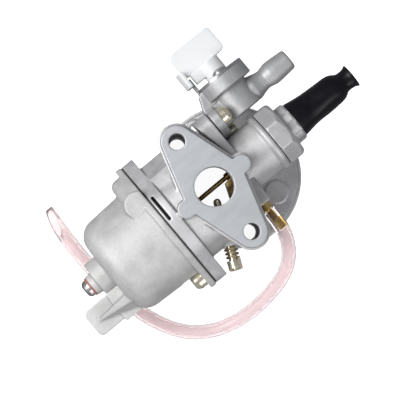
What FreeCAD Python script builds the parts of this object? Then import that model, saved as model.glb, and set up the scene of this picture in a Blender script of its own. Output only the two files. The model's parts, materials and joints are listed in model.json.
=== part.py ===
import FreeCAD, Part
import math
import os

from FreeCAD import Vector

# Small float-bowl carburettor with a sliding throttle, in millimetres.
# Z runs along the main bore from the air-filter face (z = 0) to the engine face.
# Y runs up the throttle slide towards the cap. X points towards the vent nipple.

# Main bore and its two flanges
FACE_TO_FACE = 44.0
BORE_R = 6.5
OUTLET_START = 33.5
THROAT_R = 7.1
THROAT_Z = 17.0
INTAKE_R = 11.0
INTAKE_STEP = 2.0
BOLT_PITCH = 38.0
BOLT_HOLE_R = 2.7
EAR_R = 5.3
ENGINE_FLANGE_T = 3.0
DISC_R = 24.8
DISC_X = 0.4
DISC_Y = 7.2
DISC_T = 3.4

# Throttle barrel and slide, on an axis along Y
AXIS_Z = 24.6
BARREL_R = 9.7
BARREL_TOP = 25.0
SLIDE_R = 7.5
RUNNING_GAP = 0.06
SLIDE_WELL = -7.9
SLIDE_TOP = 23.5
SLIDE_FLOOR = 11.5
SLIDE_TRAVEL = 9.0

# Float chamber
CHAMBER_ROOF = -14.5
FLANGE_TOP = -14.8
FLANGE_BOTTOM = -19.1
GASKET_T = 0.5
BOWL_FLANGE_T = 2.2
BOWL_R = 18.7
BOWL_WALL = 2.3
BOWL_BOTTOM = -45.1
BOWL_SCREW_RIGHT = (20.4, AXIS_Z)
BOWL_SCREW_LEFT = (-19.6, AXIS_Z - 7.0)
BOWL_SCREW_R = 2.0
PIN_Y = -22.0
PIN_Z = AXIS_Z - 11.0
PIN_R = 1.0
FLOAT_ARM = 4.0
FLOAT_HOLE_R = 7.5
FLOAT_DROP = 8.0
PILLAR_R = 4.2
DRAIN_X = -0.9
DRAIN_FACE = -52.1

# Idle-speed screw, leaning 24 degrees below X
IDLE_TILT = 24.0
IDLE_TIP = (3.3, -1.6)
IDLE_R = 1.5
IDLE_BOSS_END = 16.4
IDLE_SPRING_END = 21.3
IDLE_HEAD_START = 21.9
IDLE_HEAD_END = 24.9

# Petcock, whose lever turns about X
COCK_Y = 25.3
COCK_FACE = -26.9
COCK_RIM_END = -22.2
COCK_BODY_END = -12.9
COCK_BODY_R = 7.0
CAVITY_R = 5.8
CAVITY_END = -20.5
BARB_X = -17.1
FOOT_Y = 13.0
FOOT_T = 3.0
FOOT_SCREWS = ((-16.3, 33.2), (-10.7, 16.8))
FOOT_SCREW_R = 1.9
FUEL_X = -14.6
FUEL_Z = 22.0
FUEL_R = 1.1
COVER_R = 9.3
COVER_SCREW_OFFSET = 6.8

# Vent nipple and its hose
NIPPLE_Y = 9.5
NIPPLE_R = 1.47
NIPPLE_NECK_R = 1.2
HOSE_R = 2.5
HOSE_BORE_R = 1.5
HOSE_ROUTE = (
    (17.6, 9.50, 24.60),
    (22.9, 9.53, 24.60),
    (28.3, 8.3, 23.8),
    (33.0, 5.6, 22.3),
    (36.47, 1.75, 20.1),
    (38.56, -3.25, 16.87),
    (39.8, -9.2, 12.0),
    (40.5, -16.0, 7.7),
    (39.8, -23.6, 4.5),
    (37.2, -31.3, 2.9),
    (32.5, -37.8, 2.6),
    (25.7, -42.5, 2.6),
    (17.5, -45.7, 2.6),
    (8.2, -47.9, 2.6),
    (-2.2, -49.1, 2.6),
    (-12.6, -49.3, 2.6),
    (-22.4, -49.0, 2.6),
    (-31.2, -48.5, 2.6),
)
HOSE_CUT_LENGTH = 12.5

WIRE_SIDES = 12
X_DIR = Vector(1, 0, 0)
Y_DIR = Vector(0, 1, 0)
Z_DIR = Vector(0, 0, 1)

os.makedirs("parts", exist_ok=True)


def save(shape, node):
    """Write one node, and say how many solids it holds and what it weighs in mm3."""
    shape.exportStep("parts/" + node + ".step")
    print(node, len(shape.Solids), round(shape.Volume, 1), shape.isValid())


def rod(radius, start, end):
    """Round rod between two points."""
    start = Vector(*start)
    along = Vector(*end) - start
    return Part.makeCylinder(radius, along.Length, start, along)


def cone(radius_1, radius_2, start, end):
    start = Vector(*start)
    along = Vector(*end) - start
    return Part.makeCone(radius_1, radius_2, along.Length, start, along)


def tube(outer, inner, start, end):
    return rod(outer, start, end).cut(rod(inner, start, end))


def block(low, high):
    """Box between two corners."""
    size = Vector(*high) - Vector(*low)
    return Part.makeBox(size.x, size.y, size.z, Vector(*low))


def turned(profile, origin, axis):
    """Solid of revolution: profile holds (radius, distance along the axis) points."""
    points = [Vector(radius, 0, along) for radius, along in profile]
    face = Part.Face(Part.makePolygon(points + points[:1]))
    solid = face.revolve(Vector(0, 0, 0), Z_DIR, 360)
    solid.Placement = FreeCAD.Placement(Vector(*origin), FreeCAD.Rotation(Z_DIR, axis))
    return solid


def join(shapes):
    return shapes[0].multiFuse(shapes[1:])


def fuse_all(shapes):
    """Join shapes and merge the faces that they share."""
    return join(shapes).removeSplitter()


def hull(circles, low, high):
    """Plate whose outline is a belt around circles (u, v, radius), taken counter-clockwise."""
    belt = []
    for first, second in zip(circles, circles[1:] + circles[:1]):
        du = second[0] - first[0]
        dv = second[1] - first[1]
        heading = math.atan2(dv, du)
        lean = math.acos((first[2] - second[2]) / math.hypot(du, dv))
        for u, v, radius in (first, second):
            angle = heading - lean
            belt.append(Vector(u + radius * math.cos(angle), v + radius * math.sin(angle), low))
    core = Part.Face(Part.makePolygon(belt + belt[:1])).extrude(Vector(0, 0, high - low))
    discs = [rod(radius, (u, v, low), (u, v, high)) for u, v, radius in circles]
    return fuse_all([core] + discs)


def hull_across_y(circles, low, high):
    """The same plate, but with circles (x, z, radius) and its thickness along Y."""
    plate = hull(circles, -high, -low)
    plate.rotate(Vector(0, 0, 0), X_DIR, 90)
    return plate


def idle_point(distance, side=0.0):
    """Point on the idle screw's axis, at a distance out from its tip."""
    tilt = math.radians(IDLE_TILT)
    x = IDLE_TIP[0] + distance * math.cos(tilt) + side * math.sin(tilt)
    y = IDLE_TIP[1] - distance * math.sin(tilt) + side * math.cos(tilt)
    return (x, y, AXIS_Z)


def coil(mean_radius, wire_radius, length, turns, origin, axis):
    """Compression spring of twelve-sided wire."""
    helix = Part.makeHelix(length / turns, length, mean_radius)
    corners = []
    for step in range(WIRE_SIDES):
        angle = 2 * math.pi * step / WIRE_SIDES
        corners.append(Vector(mean_radius + wire_radius * math.cos(angle), 0, wire_radius * math.sin(angle)))
    profile = Part.makePolygon(corners + corners[:1])
    spring = Part.Wire(helix).makePipeShell([profile], True, True)
    if spring.Volume < 0:
        spring.reverse()
    spring.Placement = FreeCAD.Placement(Vector(*origin), FreeCAD.Rotation(Z_DIR, axis))
    return spring


def hose_path(route):
    """Straight runs joined by tangent arcs, each 0.45 of the shorter run back from its point."""
    points = [Vector(*point) for point in route]
    edges = []
    radii = []
    here = points[0]
    for before, corner, after in zip(points, points[1:], points[2:]):
        back = before - corner
        ahead = after - corner
        reach = 0.45 * min(back.Length, ahead.Length)
        back.normalize()
        ahead.normalize()
        half_turn = (math.pi - back.getAngle(ahead)) / 2
        radius = reach / math.tan(half_turn)
        middle = (back + ahead).normalize()
        centre_distance = radius / math.cos(half_turn)
        entry = corner + back * reach
        leave = corner + ahead * reach
        top = corner + middle * (centre_distance - radius)
        edges.append(Part.LineSegment(here, entry).toShape())
        edges.append(Part.Arc(entry, top, leave).toShape())
        radii.append(round(radius, 1))
        here = leave
    edges.append(Part.LineSegment(here, points[-1]).toShape())
    print("bend radii", radii)
    return Part.Wire(edges)


def sweep(path, radius):
    start = path.Edges[0].Vertexes[0].Point
    heading = path.Edges[0].tangentAt(path.Edges[0].FirstParameter)
    profile = Part.Wire(Part.makeCircle(radius, start, heading))
    return path.makePipeShell([profile], True, False)


def pan_screw(head_r, head_h, shank_r, shank_length, origin, axis):
    """Cross-head pan screw: the head's underside is at origin, and the shank runs along axis."""
    profile = [
        (0, -head_h),
        (0.62 * head_r, -head_h),
        (0.9 * head_r, -0.72 * head_h),
        (head_r, -0.4 * head_h),
        (head_r, 0),
        (shank_r, 0),
        (shank_r, shank_length - 0.4),
        (shank_r - 0.4, shank_length),
        (0, shank_length),
    ]
    screw = turned(profile, (0, 0, 0), Z_DIR)
    arm = 0.55 * head_r
    width = 0.16 * head_r
    depth = 0.55 * head_h
    for long_x, long_y in ((arm, width), (width, arm)):
        low = (-long_x, -long_y, -head_h - 0.1)
        high = (long_x, long_y, -head_h + depth)
        screw = screw.cut(block(low, high))
    screw.Placement = FreeCAD.Placement(Vector(*origin), FreeCAD.Rotation(Z_DIR, axis))
    return screw


def split_washer(outer, inner, thickness, origin, axis):
    """Spring washer with its gap."""
    ring = tube(outer, inner, (0, 0, 0), (0, 0, thickness))
    gap = block((inner - 0.4, -0.22, -0.1), (outer + 0.4, 0.22, thickness + 0.1))
    ring = ring.cut(gap)
    ring.Placement = FreeCAD.Placement(Vector(*origin), FreeCAD.Rotation(Z_DIR, axis))
    return ring


# --- Cast body ---

LOBE_Y = 11.7
BOLT_X = BOLT_PITCH / 2
CHAMBER_R = 15.6
SLOT_Y = -18.3
CAST_MARGIN = 0.9
CHAMBER_FLANGE_R = 19.0
CHAMBER_EAR_R = 4.5
NECK_R = 17.6
NECK_TOP = -6.0
VENT_HOLE = (-20.2, 8.9)
SEAT_R = 2.3


def engine_flange(margin, low, high):
    """Two-bolt flange with a small lobe above and below the bore."""
    ears = [
        (BOLT_X, 0, EAR_R + margin),
        (0, 0, 10.8 + margin),
        (-BOLT_X, 0, EAR_R + margin),
        (0, 0, 10.8 + margin),
    ]
    lobes = [(0, -LOBE_Y, 3.0 + margin), (0, LOBE_Y, 3.0 + margin)]
    return hull(ears, low, high).fuse(hull(lobes, low, high))


def chamber_plate(margin, low, high):
    """Flange-shaped plate of the float chamber: a circle with an ear for each screw."""
    right_x, right_z = BOWL_SCREW_RIGHT
    left_x, left_z = BOWL_SCREW_LEFT
    circle = (0, AXIS_Z, CHAMBER_FLANGE_R + margin)
    outline = [(right_x, right_z, CHAMBER_EAR_R + margin), circle]
    outline += [(-20.3, AXIS_Z, CHAMBER_EAR_R + margin), (left_x, left_z, CHAMBER_EAR_R + margin), circle]
    return hull_across_y(outline, low, high)


def petcock_shelf():
    """Ledge that carries the petcock's foot, thinner towards the barrel."""
    (front_x, front_z), (back_x, back_z) = FOOT_SCREWS
    outline = [(back_x, back_z, 4.3), (-5.5, 30.2, 4.0), (front_x, front_z, 4.3)]
    shelf = hull_across_y(outline, 6.6, FOOT_Y)
    under = [(-30, 5.2), (0, 12.2), (0, 0), (-30, 0)]
    points = [Vector(x, y, 0) for x, y in under]
    return shelf.cut(Part.Face(Part.makePolygon(points + points[:1])).extrude(Vector(0, 0, FACE_TO_FACE)))


def corner_post():
    """Square-edged post between the float chamber's roof and the flange's left ear."""
    outline = [(-7.0, 40.4), (-15.4, 36.4), (-20.4, 28.6), (-20.4, 21.4), (-15.4, 17.0), (-7.0, 17.0)]
    points = [Vector(x, FLANGE_TOP, z) for x, z in outline]
    return Part.Face(Part.makePolygon(points + points[:1])).extrude(Vector(0, 6.0 - FLANGE_TOP, 0))


def carb_body():
    solids = []
    disc_back = DISC_T - 1.2
    solids.append(rod(DISC_R, (DISC_X, DISC_Y, 0), (DISC_X, DISC_Y, disc_back)))
    solids.append(rod(DISC_R - 1.1, (DISC_X, DISC_Y, disc_back), (DISC_X, DISC_Y, DISC_T)))
    solids.append(cone(15.5, 10.6, (0, 0, DISC_T), (0, 0, 14.0)))
    flange_back = FACE_TO_FACE - ENGINE_FLANGE_T
    solids.append(rod(9.8, (0, 0, DISC_T), (0, 0, flange_back)))
    solids.append(engine_flange(0, flange_back, FACE_TO_FACE))
    solids.append(engine_flange(CAST_MARGIN, flange_back - 2.4, flange_back))
    for side in (-1, 1):
        solids.append(rod(EAR_R, (side * BOLT_X, 0, 0), (side * BOLT_X, 0, flange_back)))
    solids.append(rod(2.6, (*VENT_HOLE, 0), (*VENT_HOLE, 4.5)))
    solids.append(rod(3.9, (14.8, 16.4, DISC_T), (14.8, 16.4, DISC_T + 0.3)))
    barrel = [(0, 0), (BARREL_R, 0), (BARREL_R, 22.4), (10.7, 23.4), (10.7, 24.4), (10.2, BARREL_TOP)]
    barrel += [(8.9, BARREL_TOP), (8.9, BARREL_TOP + 4.4), (0, BARREL_TOP + 4.4)]
    solids.append(turned(barrel, (0, 0, AXIS_Z), Y_DIR))
    solids.append(petcock_shelf())
    solids.append(block((6.0, 3.0, AXIS_Z - 6.5), (14.8, 12.0, AXIS_Z + 8.0)))
    solids.append(block((-9.5, -1.0, DISC_T), (-6.5, FOOT_Y, 14.0)))
    solids.append(rod(NECK_R, (0, FLANGE_TOP, AXIS_Z), (0, NECK_TOP, AXIS_Z)))
    solids.append(cone(NECK_R, 11.0, (0, NECK_TOP, AXIS_Z), (0, 0.5, AXIS_Z)))
    solids.append(corner_post())
    solids.append(chamber_plate(0, FLANGE_BOTTOM, FLANGE_TOP))
    solids.append(rod(4.0, idle_point(4.0), idle_point(IDLE_BOSS_END)))
    solids.append(rod(2.6, (FUEL_X, -8.0, FUEL_Z), (FUEL_X, FOOT_Y - 2.5, FUEL_Z)))
    body = join(solids)

    holes = []
    holes.append(rod(INTAKE_R, (0, 0, -1), (0, 0, INTAKE_STEP)))
    holes.append(cone(INTAKE_R - 0.6, THROAT_R, (0, 0, INTAKE_STEP), (0, 0, THROAT_Z)))
    holes.append(rod(THROAT_R, (0, 0, THROAT_Z), (0, 0, OUTLET_START - 2)))
    holes.append(cone(THROAT_R, BORE_R, (0, 0, OUTLET_START - 2), (0, 0, OUTLET_START)))
    holes.append(rod(BORE_R, (0, 0, OUTLET_START), (0, 0, FACE_TO_FACE + 1)))
    bore_r = SLIDE_R + RUNNING_GAP
    holes.append(rod(bore_r, (0, SLIDE_WELL, AXIS_Z), (0, BARREL_TOP + 5, AXIS_Z)))
    for side in (-1, 1):
        holes.append(rod(BOLT_HOLE_R, (side * BOLT_X, 0, -1), (side * BOLT_X, 0, FACE_TO_FACE + 1)))
    holes.append(rod(1.3, (*VENT_HOLE, -1), (*VENT_HOLE, 6)))
    holes.append(rod(CHAMBER_R, (0, FLANGE_BOTTOM - 1, AXIS_Z), (0, CHAMBER_ROOF, AXIS_Z)))
    for x, z in (BOWL_SCREW_RIGHT, BOWL_SCREW_LEFT):
        holes.append(rod(BOWL_SCREW_R, (x, FLANGE_BOTTOM - 1, z), (x, FLANGE_TOP + 4, z)))
    slot = tube(25, CHAMBER_R + 1.5, (0, SLOT_Y, AXIS_Z), (0, SLOT_Y + 0.9, AXIS_Z))
    holes.append(slot.common(block((-10.6, FLANGE_BOTTOM, AXIS_Z), (-0.8, FLANGE_TOP, 50))))
    holes.append(rod(1.85, (10.4, NIPPLE_Y, AXIS_Z), (15.5, NIPPLE_Y, AXIS_Z)))
    holes.append(rod(0.8, (11.0, NIPPLE_Y, AXIS_Z), (10.6, CHAMBER_ROOF - 1, AXIS_Z - 8.0)))
    holes.append(rod(1.36, idle_point(-6), idle_point(9.0)))
    holes.append(rod(IDLE_R + 0.05, idle_point(7.9), idle_point(IDLE_BOSS_END + 1)))
    for x, z in FOOT_SCREWS:
        holes.append(rod(FOOT_SCREW_R, (x, 6.0, z), (x, FOOT_Y + 1, z)))
    holes.append(rod(FUEL_R, (FUEL_X, -9.6, FUEL_Z), (FUEL_X, FOOT_Y + 1, FUEL_Z)))
    holes.append(rod(FUEL_R, (FUEL_X, -9.6, FUEL_Z), (0, -9.6, PIN_Z + FLOAT_ARM)))
    seat_z = PIN_Z + FLOAT_ARM
    holes.append(rod(SEAT_R, (0, CHAMBER_ROOF - 1, seat_z), (0, -9.6, seat_z)))
    body = body.cut(Part.makeCompound(holes))

    posts = [rod(PILLAR_R, (0, -38, AXIS_Z), (0, CHAMBER_ROOF + 0.5, AXIS_Z))]
    for side in (-1, 1):
        low = (min(side * 5.0, side * 8.0), PIN_Y - 2.2, PIN_Z - 2.0)
        high = (max(side * 5.0, side * 8.0), CHAMBER_ROOF + 0.5, PIN_Z + 2.0)
        posts.append(block(low, high))
    body = join([body] + posts)
    drilled = []
    drilled.append(rod(2.0, (0, -26, AXIS_Z), (0, SLIDE_WELL + 1, AXIS_Z)))
    drilled.append(rod(2.4, (0, -39, AXIS_Z), (0, -26, AXIS_Z)))
    drilled.append(rod(PIN_R, (-12, PIN_Y, PIN_Z), (12, PIN_Y, PIN_Z)))
    return body.cut(Part.makeCompound(drilled))


# --- Throttle ---

IDLE_SLOT_HALF = 1.6


def throttle_slide():
    slide = rod(SLIDE_R, (0, 1.0, AXIS_Z), (0, SLIDE_TOP, AXIS_Z))
    below = [(-9, 0), (9, 0), (9, 0.8), (5.8, 2.1), (1.3, 4.0), (0.9, 6.9), (-9, 6.9)]
    points = [Vector(x, y, AXIS_Z - 9) for x, y in below]
    slide = slide.cut(Part.Face(Part.makePolygon(points + points[:1])).extrude(Vector(0, 0, 18)))
    slide = slide.fuse(rod(1.3, (0, 5.2, AXIS_Z), (0, 8, AXIS_Z)))
    slide = slide.cut(rod(6.2, (0, SLIDE_FLOOR, AXIS_Z), (0, SLIDE_TOP + 1, AXIS_Z)))
    slide = slide.cut(rod(0.81, (0, 0, AXIS_Z), (0, SLIDE_TOP, AXIS_Z)))
    lift = SLIDE_TRAVEL + 0.15
    top = [idle_point(-2.3, IDLE_R), idle_point(9.0, IDLE_R)]
    slot = [(x, y + lift) for x, y, z in top] + [(top[1][0], -9), (top[0][0], -9)]
    points = [Vector(x, y, AXIS_Z - IDLE_SLOT_HALF) for x, y in slot]
    cutter = Part.Face(Part.makePolygon(points + points[:1])).extrude(Vector(0, 0, 2 * IDLE_SLOT_HALF))
    return slide.cut(cutter)


def jet_needle():
    profile = [(0, -12.5), (0.45, -12.2), (0.8, -5.0), (0.8, 12.2), (0.55, 12.2), (0.55, 12.8)]
    profile += [(0.8, 12.8), (0.8, 14.2), (0, 14.2)]
    return turned(profile, (0, 0, AXIS_Z), Y_DIR)


def needle_clip():
    clip = tube(2.3, 0.58, (0, 12.25, AXIS_Z), (0, 12.75, AXIS_Z))
    return clip.cut(block((0, 12, AXIS_Z - 0.45), (3, 13, AXIS_Z + 0.45)))


def spring_seat():
    seat = tube(5.9, 2.5, (0, SLIDE_FLOOR, AXIS_Z), (0, 13.0, AXIS_Z))
    return seat.fuse(tube(5.9, 1.0, (0, 13.0, AXIS_Z), (0, 13.5, AXIS_Z)))


# --- Cap, adjuster and boot ---

CAP_LOW = BARREL_TOP + 0.25
CAP_TOP = 31.5
NUT_TOP = 35.2
CAP_FLAT_R = 10.2
ADJUSTER_R = 3.5


def barrel_cap():
    corner_r = CAP_FLAT_R / math.cos(math.pi / 8)
    points = []
    for step in range(8):
        angle = math.pi / 4 * step + 0.33
        points.append(Vector(corner_r * math.cos(angle), CAP_LOW, AXIS_Z + corner_r * math.sin(angle)))
    prism = Part.Face(Part.makePolygon(points + points[:1])).extrude(Vector(0, CAP_TOP - CAP_LOW, 0))
    chamfer = [(0, CAP_LOW), (10.6, CAP_LOW), (10.95, CAP_LOW + 0.6), (10.95, 29.9), (9.6, CAP_TOP)]
    chamfer += [(0, CAP_TOP)]
    cap = prism.common(turned(chamfer, (0, 0, AXIS_Z), Y_DIR))
    cap = cap.cut(rod(8.9, (0, CAP_LOW - 1, AXIS_Z), (0, BARREL_TOP + 4.4, AXIS_Z)))
    cap = cap.cut(rod(7.5, (0, CAP_LOW, AXIS_Z), (0, 30.3, AXIS_Z)))
    return cap.cut(rod(ADJUSTER_R, (0, CAP_LOW, AXIS_Z), (0, CAP_TOP + 1, AXIS_Z)))


def cap_seal():
    return tube(9.7, 8.9, (0, BARREL_TOP, AXIS_Z), (0, CAP_LOW, AXIS_Z))


def adjuster_locknut():
    profile = [(ADJUSTER_R, CAP_TOP), (7.1, CAP_TOP), (7.1, 34.6), (6.6, NUT_TOP), (ADJUSTER_R, NUT_TOP)]
    nut = turned(profile, (0, 0, AXIS_Z), Y_DIR)
    for step in range(12):
        notch = block((6.7, 32.4, -0.6), (7.6, 36, 0.6))
        notch.rotate(Vector(0, 0, 0), Y_DIR, 30 * step)
        notch.translate(Vector(0, 0, AXIS_Z))
        nut = nut.cut(notch)
    return nut


def cable_adjuster():
    profile = [(1.2, 30.3), (ADJUSTER_R, 30.3), (ADJUSTER_R, 36), (3, 36), (3, 50), (1.2, 50)]
    return turned(profile, (0, 0, AXIS_Z), Y_DIR)


def cable_boot():
    outside = [(6.35, NUT_TOP), (6.25, 35.9), (5.5, 41.5), (5.4, 46.5), (5.2, 51.8), (4.65, 53.8)]
    outside += [(3.6, 55.3), (3.6, 57.2), (3.75, 58.5), (4.2, 59.1), (4.2, 59.6)]
    inside = [(1.5, 59.6), (1.5, 55.0), (2.6, 53.0), (2.6, 50), (3, 50), (3, 36), (ADJUSTER_R, 36)]
    inside += [(ADJUSTER_R, NUT_TOP)]
    return turned(outside + inside, (0, 0, AXIS_Z), Y_DIR)


# --- Float chamber ---

GASKET_BOTTOM = FLANGE_BOTTOM - GASKET_T
BOWL_FLANGE_BOTTOM = GASKET_BOTTOM - BOWL_FLANGE_T
TAB_LOW = -60.4
SCREW_RECESS_R = 3.3


def bowl_screw_holes(radius, low, high):
    places = (BOWL_SCREW_RIGHT, BOWL_SCREW_LEFT)
    return Part.makeCompound([rod(radius, (x, low, z), (x, high, z)) for x, z in places])


def bowl_gasket():
    gasket = chamber_plate(-0.15, GASKET_BOTTOM, FLANGE_BOTTOM)
    gasket = gasket.cut(rod(CHAMBER_R, (0, GASKET_BOTTOM - 1, AXIS_Z), (0, FLANGE_BOTTOM + 1, AXIS_Z)))
    return gasket.cut(bowl_screw_holes(BOWL_SCREW_R, GASKET_BOTTOM - 1, FLANGE_BOTTOM + 1))


def rounded_cup(radius_top, radius_low, bottom, top, corner):
    """Solid of revolution with a rounded lower edge, about the barrel's axis."""
    profile = [(0, bottom), (radius_low - corner, bottom)]
    for step in range(1, 8):
        angle = math.pi / 2 * step / 8
        across = radius_low - corner + corner * math.sin(angle)
        profile.append((across, bottom + corner - corner * math.cos(angle)))
    profile += [(radius_low, bottom + corner), (radius_top, top), (0, top)]
    return turned(profile, (0, 0, AXIS_Z), Y_DIR)


def drain_tab():
    """Flat lever-shaped tab under the bowl, with a thicker root and a rib that runs to a point."""
    low_z = AXIS_Z - 1.6
    high_z = AXIS_Z + 1.6
    tab = block((4.5, TAB_LOW, low_z), (14.5, -43, high_z))
    corners = [edge for edge in tab.Edges if is_tab_corner(edge)]
    tab = tab.makeFillet(2.0, corners)
    root = block((4.5, -50.4, AXIS_Z - 4.5), (15.6, -43, AXIS_Z + 2.2))
    ends = []
    for y, left, crest_left, crest_right, right, crest in (
        (-57.4, 9.0, 9.2, 9.9, 10.2, high_z + 0.3),
        (-42.5, 7.9, 8.3, 11.8, 15.3, AXIS_Z + 9.5),
    ):
        outline = [(left, high_z - 1), (crest_left, crest), (crest_right, crest), (right, high_z - 1)]
        points = [Vector(x, y, z) for x, z in outline]
        ends.append(Part.makePolygon(points + points[:1]))
    rib = Part.makeLoft(ends, True, True)
    return join([tab, root, rib])


def is_tab_corner(edge):
    """True for the two edges along Z at the tab's free end."""
    box = edge.BoundBox
    return box.YMax < TAB_LOW + 0.1 and box.ZLength > 1


def bowl_lobe():
    """Rounded swelling on the bowl's left, running on to the boss at its front."""
    low = -26.6
    lobe = hull_across_y([(-18.4, AXIS_Z + 2.6, 4.4), (-12.0, AXIS_Z + 10.0, 4.2)], low, GASKET_BOTTOM)
    under = [edge for edge in lobe.Edges if edge.BoundBox.YMax < low + 0.01]
    return lobe.makeFillet(2.8, under)


def float_bowl():
    outside = rounded_cup(BOWL_R, BOWL_R - 0.9, BOWL_BOTTOM, GASKET_BOTTOM, 6.5)
    flange = chamber_plate(0.3, BOWL_FLANGE_BOTTOM, GASKET_BOTTOM)
    boss = rod(4.5, (-11.4, -23.0, AXIS_Z + 6), (-11.4, -23.0, 41.3))
    above = block((-30, GASKET_BOTTOM, 0), (30, 0, 50))
    drain = rod(6.15, (-1.75, -49.9, AXIS_Z), (-1.75, -42, AXIS_Z))
    drain_end = cone(3.7, 3.9, (DRAIN_X, DRAIN_FACE, AXIS_Z), (DRAIN_X, -49.5, AXIS_Z))
    bowl = join([outside, flange, bowl_lobe(), boss.cut(above), drain, drain_end, drain_tab()])
    holes = [rounded_cup(BOWL_R - BOWL_WALL, BOWL_R - BOWL_WALL - 0.7, BOWL_BOTTOM + 2.5, 0, 4.5)]
    holes.append(rod(2.0, (DRAIN_X, DRAIN_FACE - 1, AXIS_Z), (DRAIN_X, BOWL_BOTTOM + 3, AXIS_Z)))
    holes.append(bowl_screw_holes(BOWL_SCREW_R, BOWL_FLANGE_BOTTOM - 1, GASKET_BOTTOM + 1))
    holes.append(bowl_screw_holes(SCREW_RECESS_R, BOWL_FLANGE_BOTTOM - 6.5, BOWL_FLANGE_BOTTOM))
    for hole in holes:
        bowl = bowl.cut(hole)
    return bowl


def bowl_fasteners():
    screws = []
    washers = []
    for x, z in (BOWL_SCREW_RIGHT, BOWL_SCREW_LEFT):
        under = (x, BOWL_FLANGE_BOTTOM - 1.0, z)
        washers.append(split_washer(3.15, BOWL_SCREW_R, 1.0, under, Y_DIR))
        screws.append(pan_screw(3.1, 2.9, BOWL_SCREW_R, 7.8, under, Y_DIR))
    return Part.makeCompound(screws), Part.makeCompound(washers)


def needle_jet():
    profile = [(0.9, -25.8), (2.0, -25.8), (2.0, -7.9), (1.75, -7.9), (1.75, -6.0), (0.9, -6.0)]
    return turned(profile, (0, 0, AXIS_Z), Y_DIR)


def main_jet():
    profile = [(0.45, -40.4), (3.0, -40.4), (3.0, -38.05), (2.4, -38.05), (2.4, -30), (0.45, -30)]
    jet = turned(profile, (0, 0, AXIS_Z), Y_DIR)
    return jet.cut(block((-4, -41, AXIS_Z - 0.4), (4, -39.6, AXIS_Z + 0.4)))


def float_valve_seat():
    seat_z = PIN_Z + FLOAT_ARM
    profile = [(0.7, -9.6), (SEAT_R, -9.6), (SEAT_R, -14.5), (2.7, -14.5), (2.7, -17.6), (1.56, -17.6)]
    profile += [(1.56, -12.4), (0.7, -11.4)]
    return turned(profile, (0, 0, seat_z), Y_DIR)


def float_needle():
    """Needle of the fuel valve, off its seat as far as the dropped float lets it."""
    drop = FLOAT_ARM * math.radians(FLOAT_DROP)
    profile = [(0, -11.35), (0.5, -11.45), (1.5, -12.6), (1.5, -20.1), (0.7, -20.75), (0, -20.75)]
    needle = turned(profile, (0, 0, PIN_Z + FLOAT_ARM), Y_DIR)
    needle.translate(Vector(0, -drop, 0))
    return needle


def float_solid():
    """Twin-lobed float with its hinge arm, drawn level and then dropped about its pin."""
    ring = tube(14.6, FLOAT_HOLE_R, (0, -36.5, AXIS_Z), (0, -27.0, AXIS_Z))
    ring = ring.cut(block((-20, -50, AXIS_Z - 30), (20, 0, AXIS_Z - 6.5)))
    ring = ring.cut(block((-FLOAT_HOLE_R, -50, AXIS_Z - 30), (FLOAT_HOLE_R, 0, AXIS_Z)))
    arms = []
    for side in (-1, 1):
        x = side * 8.6 - 1.1
        arms.append(block((x, -28.2, AXIS_Z - 6.5), (x + 2.2, -26.0, AXIS_Z + 2)))
    bridge = block((-9.7, -28.2, PIN_Z - 0.8), (9.7, -26.0, AXIS_Z - 5.4))
    stem = block((-4.6, -27.0, PIN_Z - 1.4), (4.6, PIN_Y, PIN_Z + 0.6))
    hinge = rod(2.0, (-4.7, PIN_Y, PIN_Z), (4.7, PIN_Y, PIN_Z))
    tang = block((-1.6, -22.6, PIN_Z), (1.6, -21.0, PIN_Z + FLOAT_ARM + 1.0))
    body = fuse_all([ring] + arms + [bridge, stem, hinge, tang])
    body = body.cut(rod(PIN_R + 0.06, (-6, PIN_Y, PIN_Z), (6, PIN_Y, PIN_Z)))
    body.rotate(Vector(0, PIN_Y, PIN_Z), X_DIR, FLOAT_DROP)
    return body


def float_pin():
    return rod(PIN_R, (-8.8, PIN_Y, PIN_Z), (8.8, PIN_Y, PIN_Z))


def drain_parts():
    washer = tube(3.5, 2.0, (DRAIN_X, DRAIN_FACE - 0.6, AXIS_Z), (DRAIN_X, DRAIN_FACE, AXIS_Z))
    under = (DRAIN_X, DRAIN_FACE - 0.6, AXIS_Z)
    return pan_screw(3.05, 2.2, 2.0, 8.9, under, Y_DIR), washer


# --- Idle screw ---


def idle_outward():
    return Vector(*idle_point(1.0)) - Vector(*idle_point(0.0))


def idle_frame(shape):
    """Place a shape made along Z so that Z runs out along the idle screw."""
    outward = idle_outward()
    shape.Placement = FreeCAD.Placement(Vector(*idle_point(0.0)), FreeCAD.Rotation(Z_DIR, outward))
    return shape


def idle_screw():
    profile = [(0, 0), (0.75, 0.25), (1.15, 0.7), (1.3, 1.3), (1.3, 9.9), (IDLE_R, 10.2)]
    profile += [(IDLE_R, IDLE_HEAD_START), (2.35, IDLE_HEAD_START), (2.35, IDLE_HEAD_END - 0.4)]
    profile += [(1.9, IDLE_HEAD_END), (0, IDLE_HEAD_END)]
    screw = turned(profile, (0, 0, 0), Z_DIR)
    slot = block((-3, -0.4, IDLE_HEAD_END - 1.1), (3, 0.4, IDLE_HEAD_END + 1))
    return idle_frame(screw.cut(slot))


def idle_washer():
    return idle_frame(tube(2.45, IDLE_R + 0.05, (0, 0, IDLE_SPRING_END), (0, 0, IDLE_HEAD_START - 0.05)))


# --- Petcock ---


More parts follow.
